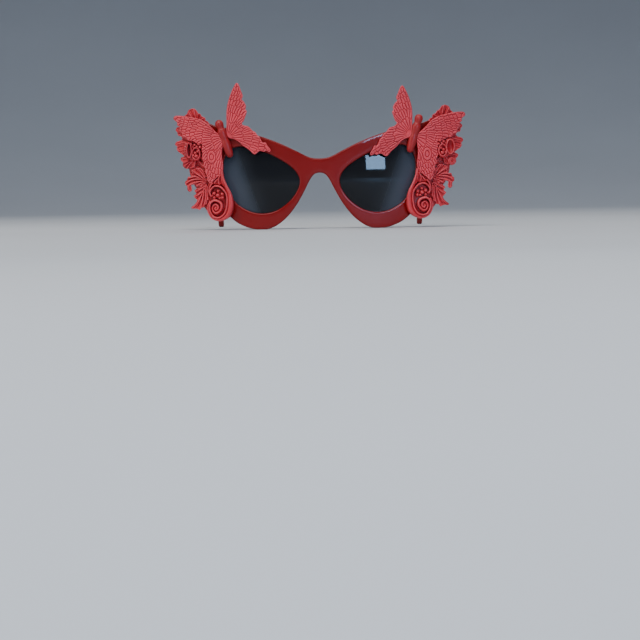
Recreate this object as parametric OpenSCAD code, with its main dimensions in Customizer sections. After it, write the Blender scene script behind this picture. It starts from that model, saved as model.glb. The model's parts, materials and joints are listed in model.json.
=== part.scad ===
// Cat eye sunglasses with a butterfly and a baroque scroll spray at each outer corner.
// +X is the wearer's left, seen on the right from the front. -Y is forward and +Z is up.
// The glasses stand open: the two lower rims and the two temple tips rest on z = 0.

/* [Front] */
// Radius of the front's base curve
front_r = 240; // [200:10:300]
// Thickness of the front
front_t = 5; // [4:0.5:6]
// How far the end pieces reach behind the middle of the front face
butt_y = 20.5; // [19:0.5:23]

/* [Lenses] */
// Radius of the front surface of a lens
lens_r = 130; // [120:5:160]
// Thickness of a lens
lens_t = 1.9; // [1.6:0.1:2.2]
// Depth of the groove that holds a lens
groove_depth = 1; // [0.6:0.1:1.4]

/* [Temples] */
// Thickness of a temple, across the head
temple_t = 4; // [3.6:0.2:4.6]
// Distance from the middle of the glasses to a temple's inner face
temple_x = 70; // [69:0.5:72]
// Length of the straight part, from the end piece to the ear bend
temple_straight = 88; // [84:1:96]
// Slope of the straight part below level, in degrees
temple_slope = 10; // [8:0.5:11]
// Turn of the ear bend, in degrees
ear_turn = 44; // [40:1:48]
// Radius of the ear bend
ear_r = 24; // [20:1:30]

/* [Hinges] */
// Radius of a hinge knuckle
knuckle_r = 1.5; // [1.3:0.1:1.6]
// Radius of a hinge screw's shank
screw_r = 0.7; // [0.6:0.05:0.8]
// Height of one of the five knuckles
knuckle_h = 1.5; // [1.3:0.1:1.6]

/* [Ornaments] */
// Thickness of a butterfly's wings
wing_t = 1.4; // [1.2:0.1:1.8]
// Thickness of the scroll spray's base plate
base_t = 1.8; // [1.4:0.1:2.2]
// Height of the leaves above the base plate
leaf_t = 1.6; // [1.2:0.1:1.8]
// Height of the volute's rim above the front
volute_t = 7.5; // [6:0.5:8]

/* [Hidden] */
$fn = 96;

// The depth of the whole model runs from the foremost wing tip to the temple tips.
foremost_y = -1.7;
fit_gap = 0.05;
run_gap = 0.02;
reach = 60;
left = 0;
right = 1;

// The temple's centre line, worked out from the dimensions above.
hinge_x = temple_x - 2;
hinge_z = 60;
temple_gap = 0.1;
tip_cap_r = 4.2;
tip_flat = 0.2;
straight_end = [temple_straight * cos(temple_slope), -temple_straight * sin(temple_slope)];
ear_centre = straight_end - ear_r * [sin(temple_slope), cos(temple_slope)];
tip_slope = temple_slope + ear_turn;
ear_end = ear_centre + ear_r * [sin(tip_slope), cos(tip_slope)];
// The tip runs down until its round end is cut flat by the table.
tip_straight = (hinge_z + ear_end[1] - tip_cap_r + tip_flat) / sin(tip_slope);
tip_end = ear_end + tip_straight * [cos(tip_slope), -sin(tip_slope)];
temple_length = temple_straight + ear_r * ear_turn * PI / 180 + tip_straight;
rearmost_y = butt_y + tip_end[0] + tip_cap_r;
middle_y = (foremost_y + rearmost_y) / 2;

// ---- curves ----------------------------------------------------------------

function spline(a, b, c, d, t) =
    0.5 * (2 * b + (c - a) * t + (2 * a - 5 * b + 4 * c - d) * t * t + (3 * b - a - 3 * c + d) * t * t * t);
// A smooth closed curve through the given points, with n steps from one to the next.
function loop(p, n) = [for (i = [0:len(p) - 1], k = [0:n - 1])
    spline(p[(i + len(p) - 1) % len(p)], p[i], p[(i + 1) % len(p)], p[(i + 2) % len(p)], k / n)];
// An anticlockwise closed curve moved outwards by d.
function grow(p, d) = [for (i = [0:len(p) - 1])
    let (v = p[(i + 1) % len(p)] - p[(i + len(p) - 1) % len(p)]) p[i] + d * [v[1], -v[0]] / norm(v)];
function turned(p, angle, about) = [for (q = p) let (v = q - about)
    about + [v[0] * cos(angle) - v[1] * sin(angle), v[0] * sin(angle) + v[1] * cos(angle)]];
function raised(p, share, from) = [for (q = p) [q[0], from + (q[1] - from) * share]];
function moved(p, by) = [for (q = p) q + by];
function reversed(p) = [for (i = [len(p) - 1:-1:0]) p[i]];
function oval(centre, rx, rz) = [for (a = [0:15:345]) centre + [rx * cos(a), rz * sin(a)]];
function depth(x) = front_r - sqrt(front_r * front_r - x * x);

// ---- outlines, seen from the front, for the +X side ------------------------

// Half of the front, from the top of the bridge round the outer tip to the nose arch.
front_half = [[7, 46.7], [16, 51.2], [27, 56.4], [40, 61.2], [54, 65.2], [66, 67.6], [73, 70.4],
    [78, 73.4], [81, 70.5], [79.5, 60], [76.5, 45], [71.5, 29], [64.5, 15.5], [56, 6], [47, 1.3],
    [38, -0.2], [30, 1.6], [22, 7.4], [15, 16], [9.8, 25], [6.3, 31.8], [3.5, 35.3]];
front_outline = loop(concat([[0, 45.6]], front_half, [[0, 36.3]],
    reversed([for (q = front_half) [-q[0], q[1]]])), 5);

lens_opening = loop([[62.8, 40.5], [62, 46], [59.8, 50.6], [55.5, 53.5], [50, 54.1], [43, 52.8],
    [36.5, 50.6], [30, 47.7], [22, 43], [16.4, 38.4], [13.4, 33.5], [13.2, 29], [15.2, 24], [20, 18],
    [27, 12.9], [34, 10.7], [41, 10.7], [48, 13], [55, 18], [59.6, 25.5], [62, 33]], 4);

wing_root = [59.5, 60];
// The inner forewing's edge, from the root up the leading edge and down the scallops.
inner_fore = [[60.3, 64], [60, 68], [60, 73.6], [59.6, 78.8], [58.3, 84], [56.4, 89], [54.2, 93.3],
    [52.9, 94.8], [51.6, 93.5], [50.3, 89.7], [49, 85.8], [50, 83.6], [48.7, 82.6], [47.1, 79.4],
    [46.7, 76], [47.4, 73.6], [48.7, 69.8], [50, 68.4]];
// The inner hindwing's edge, from the notch round the tail and back to the root.
inner_hind = [[48.7, 66.9], [45.8, 66.4], [43, 63.4], [39.7, 60.2], [37.8, 57.6], [36.5, 55.7],
    [34.6, 55.4], [33.6, 53.8], [31.4, 50.8], [32.4, 49.6], [35.9, 49.7], [38.5, 50.2], [42, 48.1],
    [43.6, 49], [45.5, 51.2], [49.4, 53.8], [51.9, 56.3], [55.1, 58.3], [58, 59.2]];
outer_fore = [[64, 60.5], [68.7, 64.7], [73.2, 69.4], [77.7, 72], [84.1, 73.8], [90.5, 74.8],
    [95.2, 74.6], [96, 72], [93.5, 69.4], [91.8, 66.4], [92, 62.6], [89.2, 60.4], [87.5, 57.4],
    [83, 56.4], [78.5, 57.2]];
outer_hind = [[76.6, 54], [77.2, 50.5], [77.2, 45.4], [76, 41], [75, 37.4], [74.2, 33.6], [72.8, 30.8],
    [71, 31], [69.2, 33], [66.4, 35], [64, 37.6], [63.6, 42], [64.2, 49.3], [63.6, 56]];

body_tail = [58.4, 49];
body_head = [64.8, 69.6];

volute_outline = loop([[66, 5.7], [70.8, 7.6], [73.4, 12], [73.2, 16.3], [71.2, 19.6], [71.9, 24],
    [71.2, 28.4], [68, 31], [64.5, 32.6], [61.6, 30], [59.3, 25], [57.6, 20], [57.1, 14.5],
    [58.6, 10], [61.6, 7]], 4);
base_outline = loop([[66, 7.5], [71, 9.6], [75.6, 14.8], [79, 20], [79.6, 25.5], [82.6, 30], [84.8, 36],
    [86, 43], [88, 50], [88.4, 58], [87, 66], [84, 74], [79.6, 76], [76.4, 72.6], [73.4, 65], [71, 56],
    [69.4, 46], [66.8, 36], [62.4, 29], [59.6, 20], [60, 12]], 3);
leaf_lower = [[73.4, 30.6], [76.5, 29.4], [79.9, 26.6], [81.8, 23.6], [81.2, 20], [83.6, 15], [80.2, 13.6],
    [77, 14.6], [75.4, 17], [73.9, 18.6], [73.4, 22], [72.9, 26]];
leaf_middle = [[74, 32.2], [75.6, 38], [79, 40.6], [83.2, 39.6], [86, 36.2], [87.6, 31.6], [86.8, 28.6],
    [85.2, 25.2], [83.6, 26.8], [83.4, 29.4], [81.4, 27.6], [79.4, 28.8], [77.6, 30.2]];
leaf_outer = [[81, 45], [84, 42.4], [88.6, 43.4], [91.2, 46.8], [90.2, 50], [92.8, 53], [94, 57],
    [89.5, 58.6], [91, 62], [93.4, 63.2], [93, 66.6], [88, 67], [84, 62], [82, 54]];
crest_outline = [[72.2, 69], [73.6, 72.2], [75.8, 75.4], [77.7, 77.5], [80.9, 78.6], [83.6, 78], [85, 75.6],
    [87.6, 74], [86.6, 70.2], [82, 69.6], [78.6, 69.4], [75, 68]];
volute_berries = [[68, 23.3], [65.9, 22.2], [63.4, 24], [62.9, 21.2], [66, 25.2], [67.6, 20.9]];
blossom_outline = loop([[77.8, 50], [78, 47], [79.8, 45.2], [82.4, 45.3], [84.6, 46.6], [86.8, 47.8],
    [88.3, 50.8], [88.5, 54.2], [87.2, 55.9], [85.2, 56], [83, 55.8], [80.6, 54.4], [78.6, 53.2]], 3);
round_cup = oval([80.4, 49.9], 2.3, 3.6);
long_cup = oval([85.5, 51.6], 2.2, 3.7);
cup_berries = [[79.4, 50.5], [81.4, 50.5], [80.4, 52.2], [80.4, 48.4]];
bud_centre = [86.6, 43.1];
curl_centre = [66.6, 14.6];

// ---- placing ---------------------------------------------------------------

// The left and right sprays are glued on by hand, so they differ by a little.
fore_turn = [0, -2];
fore_rise = [1, 0.93];
hind_turn = [0, 5];
wing_shift = [[0, 0.6], [0.4, -0.4]];
body_shift = [[-0.4, -0.7], [0.5, 0.9]];
outer_shift = [[-0.8, 0], [0, 0]];

module on_side(side) {
    translate([0, -middle_y, 0]) mirror([side == left ? 1 : 0, 0, 0]) children();
}
// A prism along the depth with the given outline.
module prism(outline) {
    rotate([90, 0, 0]) translate([0, 0, -reach]) linear_extrude(2 * reach) polygon(outline);
}
// The space between two heights in front of the front's face.
module layer(low, high) {
    translate([0, front_r, -reach / 2]) difference() {
        cylinder(r = front_r + high, h = 3 * reach, $fn = 360);
        translate([0, 0, -1]) cylinder(r = front_r + low, h = 3 * reach + 2, $fn = 360);
    }
}
module relief(outline, low, high) {
    intersection() {
        prism(outline);
        layer(low, high);
    }
}
module lens_shell(extra) {
    lens_x = 38;
    wrap = asin(lens_x / front_r);
    vertex = [lens_x, depth(lens_x) + 0.5, 32];
    translate(vertex + lens_r * [-sin(wrap), cos(wrap), 0]) difference() {
        sphere(r = lens_r + extra, $fn = 200);
        sphere(r = lens_r - lens_t - extra, $fn = 200);
    }
}
module lens_solid(edge, extra) {
    intersection() {
        prism(grow(lens_opening, edge));
        lens_shell(extra);
    }
}

// ---- frame front -----------------------------------------------------------

module end_piece() {
    lug_in = 60.5;
    lug_out = temple_x + temple_t + 0.4;
    lug_front = 13;
    translate([lug_in, lug_front, hinge_z - 8]) cube([lug_out - lug_in, butt_y - lug_front, 17]);
}
module hinge_recess() {
    translate([hinge_x, butt_y, hinge_z - 2.6 * knuckle_h])
        cylinder(r = knuckle_r + 0.25, h = 6.2 * knuckle_h);
    translate([60.9, butt_y - 1.3, hinge_z - 3.9]) cube([hinge_x - 60.9, 3, 7.8]);
}
module front_rivet_pins(r) {
    for (dz = [-2.2, 2.2])
        translate([63, butt_y - 0.2, hinge_z + dz]) rotate([90, 0, 0]) cylinder(r = r, h = 9, $fn = 24);
}
module frame_front() {
    color("firebrick") translate([0, -middle_y, 0]) difference() {
        intersection() {
            prism(front_outline);
            union() {
                layer(-front_t, 0);
                end_piece();
                mirror([1, 0, 0]) end_piece();
            }
            translate([-100, -20, 0]) cube([200, 60, 100]);
        }
        for (m = [0, 1]) mirror([m, 0, 0]) {
            prism(lens_opening);
            lens_solid(groove_depth + fit_gap, fit_gap);
            hinge_recess();
            front_rivet_pins(0.6 + run_gap);
        }
    }
}
module lens(side) {
    color("#25282e") on_side(side) lens_solid(groove_depth, 0);
}
// An almond of acetate bonded to the back of the front, beside the nose arch.
module nose_pad(side) {
    pad_len = 15;
    pad_r = 3.3;
    color("firebrick") on_side(side) difference() {
        translate([15.4, depth(15) + front_t + 0.8, 22]) rotate([0, -30, 0]) rotate([14, 0, 0])
            translate([0, 0, -pad_len / 2]) rotate_extrude()
            polygon(concat([[0, 0]],
                [for (a = [15:15:165]) [pad_r * pow(sin(a), 0.8), pad_len * (1 - cos(a)) / 2]],
                [[0, pad_len]]));
        translate([0, front_r, 0]) difference() {
            cylinder(r = front_r + 20, h = 60, $fn = 360);
            translate([0, 0, -1]) cylinder(r = front_r - front_t, h = 62, $fn = 360);
        }
    }
}

// ---- hinges ----------------------------------------------------------------

// Knuckles number first, first + 2 and so on, counted up from the bottom one.
module knuckles(first) {
    for (k = [first:2:4])
        translate([hinge_x, butt_y, hinge_z + (k - 2.5) * knuckle_h + 0.03])
            cylinder(r = knuckle_r, h = knuckle_h - 0.06, $fn = 48);
}
module knuckle_bore() {
    translate([hinge_x, butt_y, hinge_z - 5]) cylinder(r = screw_r + run_gap, h = 10, $fn = 48);
}
module front_hinge(side) {
    color("silver") on_side(side) difference() {
        union() {
            knuckles(0);
            translate([61, butt_y - 1.2, hinge_z - 3.7]) cube([5.3, 1, 7.4]);
            for (k = [0:2:4]) translate([66, butt_y - 1.2, hinge_z + (k - 2.5) * knuckle_h + 0.03])
                cube([2, 1, knuckle_h - 0.06]);
        }
        knuckle_bore();
        front_rivet_pins(0.6 + run_gap);
    }
}
module front_rivets(side) {
    color("gainsboro") on_side(side) front_rivet_pins(0.6);
}
module hinge_screw(side) {
    head_h = 0.7;
    top = hinge_z + 2.5 * knuckle_h;
    color("gainsboro") on_side(side) difference() {
        translate([hinge_x, butt_y, 0]) union() {
            translate([0, 0, hinge_z - 2.5 * knuckle_h])
                cylinder(r = screw_r, h = 5 * knuckle_h + 0.1, $fn = 48);
            translate([0, 0, top + 0.02]) cylinder(r = 1.25, h = head_h, $fn = 48);
        }
        translate([hinge_x - 2, butt_y - 0.15, top + 0.4]) cube([4, 0.3, 1]);
    }
}
temple_rivet_y = [5, 10];
module temple_rivet_pins(r) {
    for (dy = temple_rivet_y) translate([temple_x, butt_y + dy, hinge_z - 0.7])
        rotate([0, 90, 0]) cylinder(r = r, h = temple_t, $fn = 24);
}
module temple_hinge(side) {
    color("silver") on_side(side) difference() {
        union() {
            knuckles(1);
            for (k = [1:2:4]) translate([hinge_x, butt_y, hinge_z + (k - 2.5) * knuckle_h + 0.03])
                cube([3, 2, knuckle_h - 0.06]);
            translate([temple_x, butt_y + 1, hinge_z - 3]) cube([1, 12, 6]);
        }
        knuckle_bore();
        temple_rivet_pins(0.6 + run_gap);
    }
}
module temple_rivets(side) {
    color("gainsboro") on_side(side) temple_rivet_pins(0.6);
}

// ---- temples ---------------------------------------------------------------

// Point on the temple's centre line, as [distance behind the end piece, height], and its slope.
ear_arc = ear_r * ear_turn * PI / 180;
function slope_at(s) = temple_slope + ear_turn * min(1, max(0, (s - temple_straight) / ear_arc));
function centre_at(s) = s <= temple_straight ? straight_end * s / temple_straight
    : s <= temple_straight + ear_arc ? ear_centre + ear_r * [sin(slope_at(s)), cos(slope_at(s))]
    : ear_end + (s - temple_straight - ear_arc) * [cos(tip_slope), -sin(tip_slope)];
function smooth(t) = t * t * (3 - 2 * t);
// Half the temple's height: deep at the hinge, slim in the middle, a paddle at the tip.
function half_at(s) = s < 50 ? 7 - 3.5 * smooth(s / 50)
    : 3.5 + (tip_cap_r - 3.5) * smooth((s - 50) / (temple_length - 50));
function edge_at(s, sign) = centre_at(s) + sign * half_at(s) * [sin(slope_at(s)), cos(slope_at(s))];
side_steps = [for (k = [0:30]) temple_length * k / 30];
temple_outline = concat(
    [for (s = side_steps) edge_at(s, 1)],
    [for (a = [75:-15:-75]) tip_end + tip_cap_r * [cos(a - tip_slope), sin(a - tip_slope)]],
    [for (k = [30:-1:0]) edge_at(side_steps[k], -1)]);

// The core wire is a flat strip along the middle of the temple, from behind the hinge to the tip.
wire_start = 16;
wire_end = temple_length - 12;
wire_h = 1.8;
wire_t = 1;
wire_steps = [for (k = [0:20]) wire_start + (wire_end - wire_start) * k / 20];
function wire_edge(h) = [for (s = wire_steps) centre_at(s) + h / 2 * [sin(slope_at(s)), cos(slope_at(s))]];
module wire(gap) {
    translate([temple_x + (temple_t - wire_t) / 2 - gap, butt_y, hinge_z]) rotate([90, 0, 90])
        linear_extrude(wire_t + 2 * gap)
        polygon(grow(concat(reversed(wire_edge(-wire_h)), wire_edge(wire_h)), -gap));
}
module temple(side) {
    color("firebrick") on_side(side) difference() {
        intersection() {
            translate([temple_x, butt_y, hinge_z]) rotate([90, 0, 90]) linear_extrude(temple_t)
                polygon(temple_outline);
            translate([temple_x - 1, butt_y + temple_gap, 0]) cube([temple_t + 2, 200, 100]);
        }
        translate([temple_x - 1, butt_y, hinge_z - 3 - fit_gap])
            cube([2 + fit_gap, 13 + fit_gap, 6 + 2 * fit_gap]);
        temple_rivet_pins(0.6 + run_gap);
        wire(fit_gap);
    }
}
module core_wire(side) {
    color("silver") on_side(side) wire(0);
}

// ---- butterfly -------------------------------------------------------------

body_y = 5.9;
// Radius of the butterfly along its axis: tail, abdomen, waist, thorax, neck and head.
body_profile = [[0.9, -1.1], [1.8, -0.4], [2.4, 1], [2.8, 4], [2.9, 7.5], [2.5, 10.4], [2.8, 13],
    [2.95, 16], [2.4, 18.2], [2.3, 19], [2.6, 20.4], [2.7, 21.8], [2.3, 23.2], [1.3, 24.2]];
module body_solid(side) {
    axis = body_head - body_tail;
    lean = atan2(axis[0], axis[1]) + (side == left ? 1 : -1);
    at = body_tail + body_shift[side];
    difference() {
        translate([at[0], body_y, at[1]]) rotate([0, lean, 0]) rotate_extrude($fn = 48)
            polygon(concat([[0, -1.3]], body_profile, [[0, 24.5]]));
        translate([0, front_r, 0]) cylinder(r = front_r, h = 120, $fn = 360);
    }
}
module butterfly_body(side) {
    color("indianred") on_side(side) body_solid(side);
}
// The inner wings are one plate that lifts forward towards the nose.
wing_lift = 12;
vein_h = 0.4;
vein_w = 0.7;
// Directions of the veins out from the root, in degrees up from the +X axis.
inner_veins = [96, 102, 108, 116, 196, 206, 217, 228];
outer_veins = [24, 31, 38, 4, -8, -40, -56, -68];
module veins(directions) {
    for (a = directions) translate([wing_root[0], reach, wing_root[1]]) rotate([90, 0, 0])
        rotate([0, 0, a]) translate([0, -vein_w / 2, 0]) cube([45, vein_w, 2 * reach]);
}
module inner_wing(side) {
    fore = raised(inner_fore, fore_rise[side], wing_root[1]);
    outline = moved(concat(turned(fore, fore_turn[side], wing_root),
        turned(inner_hind, hind_turn[side], wing_root)), wing_shift[side]);
    color("indianred") on_side(side) difference() {
        intersection() {
            prism(outline);
            translate([wing_root[0], body_y - 0.6, 0]) rotate([0, 0, wing_lift]) union() {
                translate([-50, -wing_t / 2, 0]) cube([60, wing_t, 120]);
                rotate([0, 0, -wing_lift]) translate([-wing_root[0], 0, 0]) intersection() {
                    veins(inner_veins);
                    translate([wing_root[0], 0, 0]) rotate([0, 0, wing_lift])
                        translate([-50, -wing_t / 2 - vein_h, 0]) cube([60, wing_t, 120]);
                }
            }
        }
        body_solid(side);
    }
}
// The outer wings are one plate that bends back round the corner of the frame.
wing_bend_r = 60;
module bent_plate(r_in, r_out) {
    translate([62, body_y - 1 + wing_bend_r, 0]) difference() {
        cylinder(r = r_out, h = 120, $fn = 200);
        translate([0, 0, -1]) cylinder(r = r_in, h = 122, $fn = 200);
    }
}
module outer_wing(side) {
    outline = moved(concat(outer_fore, outer_hind), outer_shift[side]);
    color("indianred") on_side(side) difference() {
        intersection() {
            prism(outline);
            union() {
                bent_plate(wing_bend_r - wing_t / 2, wing_bend_r + wing_t / 2);
                intersection() {
                    veins(outer_veins);
                    bent_plate(wing_bend_r, wing_bend_r + wing_t / 2 + vein_h);
                }
            }
        }
        body_solid(side);
    }
}

// ---- scroll spray ----------------------------------------------------------

floor_t = base_t + 1;
module spray_base(side) {
    color("crimson") on_side(side) relief(base_outline, 0, base_t);
}
module curl(r, low, high) {
    intersection() {
        translate([curl_centre[0], reach, curl_centre[1]]) rotate([90, 0, 0])
            cylinder(r = r, h = 2 * reach);
        layer(low, high);
    }
}
// A hollow C shaped scroll with a standing rim and a small curl on its floor.
module volute(side) {
    rim_w = 1.9;
    color("crimson") on_side(side) union() {
        difference() {
            relief(volute_outline, base_t, volute_t);
            relief(grow(volute_outline, -rim_w), floor_t, volute_t + 2);
        }
        difference() {
            curl(4, floor_t - 0.4, volute_t - 1.2);
            curl(2.9, floor_t + 0.8, volute_t);
        }
        curl(1.5, floor_t - 0.4, volute_t - 0.6);
    }
}
module berries(places, height, r) {
    for (q = places) translate([q[0], depth(q[0]) - height, q[1]]) sphere(r = r, $fn = 32);
}
// Takes away all that lies below the given height above the front's face.
module resting_at(height) {
    difference() {
        children();
        translate([0, front_r, 0]) cylinder(r = front_r + height, h = 120, $fn = 360);
    }
}
module volute_berries(side) {
    color("crimson") on_side(side) resting_at(floor_t) berries(volute_berries, floor_t + 0.9, 1.2);
}
// A flat leaf with a raised midrib from one point to another.
module leaf(side, outline, from, to) {
    rib_h = 0.6;
    rib_w = 1.1;
    run = to - from;
    color("crimson") on_side(side) intersection() {
        prism(outline);
        union() {
            layer(base_t, base_t + leaf_t);
            intersection() {
                translate([from[0], reach, from[1]]) rotate([90, 0, 0])
                    rotate([0, 0, atan2(run[1], run[0])])
                    translate([0, -rib_w / 2, 0]) cube([norm(run), rib_w, 2 * reach]);
                layer(base_t + leaf_t / 2, base_t + leaf_t + rib_h);
            }
        }
    }
}
cup_low = base_t + leaf_t + 0.6;
cup_floor = cup_low + 1;
// Two open blossoms side by side, one round and one long, cast as one.
module flower_cup(side) {
    color("crimson") on_side(side) difference() {
        relief(blossom_outline, cup_low, cup_low + 3.6);
        relief(round_cup, cup_floor, cup_low + 5);
        relief(long_cup, cup_floor, cup_low + 5);
    }
}
module cup_berries(side) {
    color("crimson") on_side(side) resting_at(cup_floor) berries(cup_berries, cup_floor + 0.75, 0.95);
}
module rosebud(side) {
    bud_low = base_t + leaf_t;
    bud_profile = [[0, 0], [3.1, 0], [3.1, 2.2], [2.7, 3.2], [1.8, 4.1], [0.8, 4.6], [0, 4.7]];
    color("crimson") on_side(side) resting_at(bud_low + 0.6)
        translate([bud_centre[0], depth(bud_centre[0]) - bud_low + 1, bud_centre[1]]) rotate([90, 0, 0])
        rotate_extrude($fn = 48) polygon(bud_profile);
}

// ---- nodes -----------------------------------------------------------------

frame_front();
lens(left);  // lens_left
lens(right);  // lens_right
nose_pad(left);  // nose_pad_left
nose_pad(right);  // nose_pad_right
front_hinge(left);  // front_hinge_left
front_hinge(right);  // front_hinge_right
front_rivets(left);  // front_rivets_left
front_rivets(right);  // front_rivets_right
hinge_screw(left);  // hinge_screw_left
hinge_screw(right);  // hinge_screw_right
temple_hinge(left);  // temple_hinge_left
temple_hinge(right);  // temple_hinge_right
temple_rivets(left);  // temple_rivets_left
temple_rivets(right);  // temple_rivets_right
temple(left);  // temple_left
temple(right);  // temple_right
core_wire(left);  // core_wire_left
core_wire(right);  // core_wire_right
butterfly_body(left);  // butterfly_body_left
butterfly_body(right);  // butterfly_body_right
inner_wing(left);  // inner_wing_left
inner_wing(right);  // inner_wing_right
outer_wing(left);  // outer_wing_left
outer_wing(right);  // outer_wing_right
spray_base(left);  // spray_base_left
spray_base(right);  // spray_base_right
volute(left);  // volute_left
volute(right);  // volute_right
volute_berries(left);  // volute_berries_left
volute_berries(right);  // volute_berries_right
leaf(left, leaf_lower, [73.6, 29], [82.6, 15]);  // leaf_lower_left
leaf(right, leaf_lower, [73.6, 29], [82.6, 15]);  // leaf_lower_right
leaf(left, leaf_middle, [75, 34], [86, 28]);  // leaf_middle_left
leaf(right, leaf_middle, [75, 34], [86, 28]);  // leaf_middle_right
leaf(left, leaf_outer, [82, 54], [93, 56]);  // leaf_outer_left
leaf(right, leaf_outer, [82, 54], [93, 56]);  // leaf_outer_right
leaf(left, crest_outline, [77, 71], [83, 78]);  // crest_left
leaf(right, crest_outline, [77, 71], [83, 78]);  // crest_right
flower_cup(left);  // flower_cup_left
flower_cup(right);  // flower_cup_right
cup_berries(left);  // cup_berries_left
cup_berries(right);  // cup_berries_right
rosebud(left);  // rosebud_left
rosebud(right);  // rosebud_right
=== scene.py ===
"""Looks of the cat eye sunglasses: a glossy front, tinted lenses and a cast butterfly spray at each corner.

Lengths in the shape tables are in millimetres. x is measured outwards from the middle of the glasses,
z upwards from the table, and depth backwards from the foremost point of the frame's front.
"""
import json
import math

import bmesh
import bpy
import numpy as np
from mathutils import Matrix, Vector
from mathutils.geometry import delaunay_2d_cdt


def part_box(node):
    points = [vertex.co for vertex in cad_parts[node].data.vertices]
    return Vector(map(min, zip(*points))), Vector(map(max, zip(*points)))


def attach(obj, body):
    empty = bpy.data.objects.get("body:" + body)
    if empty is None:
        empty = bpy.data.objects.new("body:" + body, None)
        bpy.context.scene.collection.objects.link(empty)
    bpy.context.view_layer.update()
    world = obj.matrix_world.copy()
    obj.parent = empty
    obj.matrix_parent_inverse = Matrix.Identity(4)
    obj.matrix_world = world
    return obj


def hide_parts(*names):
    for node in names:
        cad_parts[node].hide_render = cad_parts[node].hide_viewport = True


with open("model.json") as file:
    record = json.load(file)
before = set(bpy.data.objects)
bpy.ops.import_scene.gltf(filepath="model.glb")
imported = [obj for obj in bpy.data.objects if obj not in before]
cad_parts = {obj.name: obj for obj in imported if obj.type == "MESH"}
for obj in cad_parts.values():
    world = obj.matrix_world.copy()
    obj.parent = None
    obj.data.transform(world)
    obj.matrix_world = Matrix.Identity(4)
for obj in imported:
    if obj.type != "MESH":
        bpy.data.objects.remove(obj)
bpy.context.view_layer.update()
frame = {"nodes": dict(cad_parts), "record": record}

MM = 0.001
# The front: radius of its curve seen from above, thickness, and its foremost place in metres
FRONT_R = 240.0
FRONT_T = 5.0
FRONT_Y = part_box("frame_front")[0].y
SIDES = {"left": -1, "right": 1}


# ---- curves and fields

def spline(points, steps, closed=True):
    """A smooth curve through the points, as an array."""
    p = np.array(points, float)
    last = len(p) - 1
    out = []
    for i in range(last + closed):
        near = range(i - 1, i + 3)
        a, b, c, d = p[[k % len(p) if closed else min(max(k, 0), last) for k in near]]
        for k in range(steps):
            t = k / steps
            out.append(0.5 * (2 * b + (c - a) * t + (2 * a - 5 * b + 4 * c - d) * t ** 2
                              + (3 * b - a - 3 * c + d) * t ** 3))
    if not closed:
        out.append(p[-1])
    return np.array(out)


def grow(loop, by):
    """An anticlockwise loop moved outwards."""
    along = np.roll(loop, -1, 0) - np.roll(loop, 1, 0)
    normal = np.stack([along[:, 1], -along[:, 0]], 1)
    return loop + by * normal / np.linalg.norm(normal, axis=1, keepdims=True)


def anticlockwise(loop):
    """The same loop, running anticlockwise."""
    nxt = np.roll(loop, -1, 0)
    area = np.sum(loop[:, 0] * nxt[:, 1] - nxt[:, 0] * loop[:, 1])
    return loop if area > 0 else loop[::-1]


def rounded(loop, times):
    """A closed loop with its sharp turns eased."""
    for _ in range(times):
        loop = (np.roll(loop, 1, 0) + 2 * loop + np.roll(loop, -1, 0)) / 4
    return loop


def turned(loop, degrees, about):
    """A loop turned anticlockwise about a point."""
    a = math.radians(degrees)
    turn = np.array([[math.cos(a), math.sin(a)], [-math.sin(a), math.cos(a)]])
    return (np.array(loop, float) - about) @ turn + about


def inside(p, loop):
    """Which points lie inside a closed loop."""
    hit = np.zeros(len(p), bool)
    for a, b in zip(loop, np.roll(loop, -1, 0)):
        if a[1] == b[1]:
            continue
        spans = (a[1] > p[:, 1]) != (b[1] > p[:, 1])
        cross = (b[0] - a[0]) * (p[:, 1] - a[1]) / (b[1] - a[1]) + a[0]
        hit ^= spans & (p[:, 0] < cross)
    return hit


def within(p, loops):
    """Which points lie inside the first loop and outside the others."""
    good = inside(p, loops[0])
    for hole in loops[1:]:
        good &= ~inside(p, hole)
    return good


def nearest(p, path, closed=False):
    """Distance of each point from a path, and how far along the path the nearest place is, 0 to 1."""
    a = path if closed else path[:-1]
    b = np.roll(path, -1, 0) if closed else path[1:]
    best = np.full(len(p), np.inf)
    along = np.zeros(len(p))
    for i in range(len(a)):
        v = b[i] - a[i]
        w = p - a[i]
        t = np.clip((w @ v) / max(v @ v, 1e-12), 0, 1)
        d = np.hypot(w[:, 0] - t * v[0], w[:, 1] - t * v[1])
        closer = d < best
        best[closer] = d[closer]
        along[closer] = (i + t[closer]) / len(a)
    return best, along


def ease(t):
    """A smooth step from 0 to 1."""
    t = np.clip(t, 0, 1)
    return t * t * (3 - 2 * t)


def quarter_round(d, r):
    """0 at the edge, 1 from r inwards, with a circular profile."""
    t = np.clip(d / r, 0, 1)
    return np.sqrt(1 - (1 - t) ** 2)


def ridge(p, path, width, height):
    """A round ridge along a path. width and height are (start, end)."""
    d, t = nearest(p, path)
    w = width[0] + (width[1] - width[0]) * t
    h = height[0] + (height[1] - height[0]) * t
    return h * np.sqrt(np.clip(1 - (d / w) ** 2, 0, None))


def bump(p, seed, size, octaves=2):
    """Soft random unevenness, about -1 to 1."""
    r = np.random.default_rng(seed)
    total = np.zeros(len(p))
    for k in range(octaves):
        for _ in range(5):
            a = r.uniform(0, 2 * math.pi)
            f = 2 ** k * r.uniform(0.7, 1.3) / size
            wave = p[:, 0] * math.cos(a) + p[:, 1] * math.sin(a)
            total += np.sin(2 * math.pi * f * wave + r.uniform(0, 6.28)) / 5 / 2 ** k
    return total


def face_depth(x):
    """Depth of the front's own face at a distance from the middle."""
    return FRONT_R - np.sqrt(FRONT_R ** 2 - x ** 2)


# ---- meshes

def to_row(side, x, depth, z):
    """Places in the frame that all the tools share, in metres."""
    return np.stack([SIDES[side] * x * MM, FRONT_Y + depth * MM, z * MM], 1)


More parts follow.
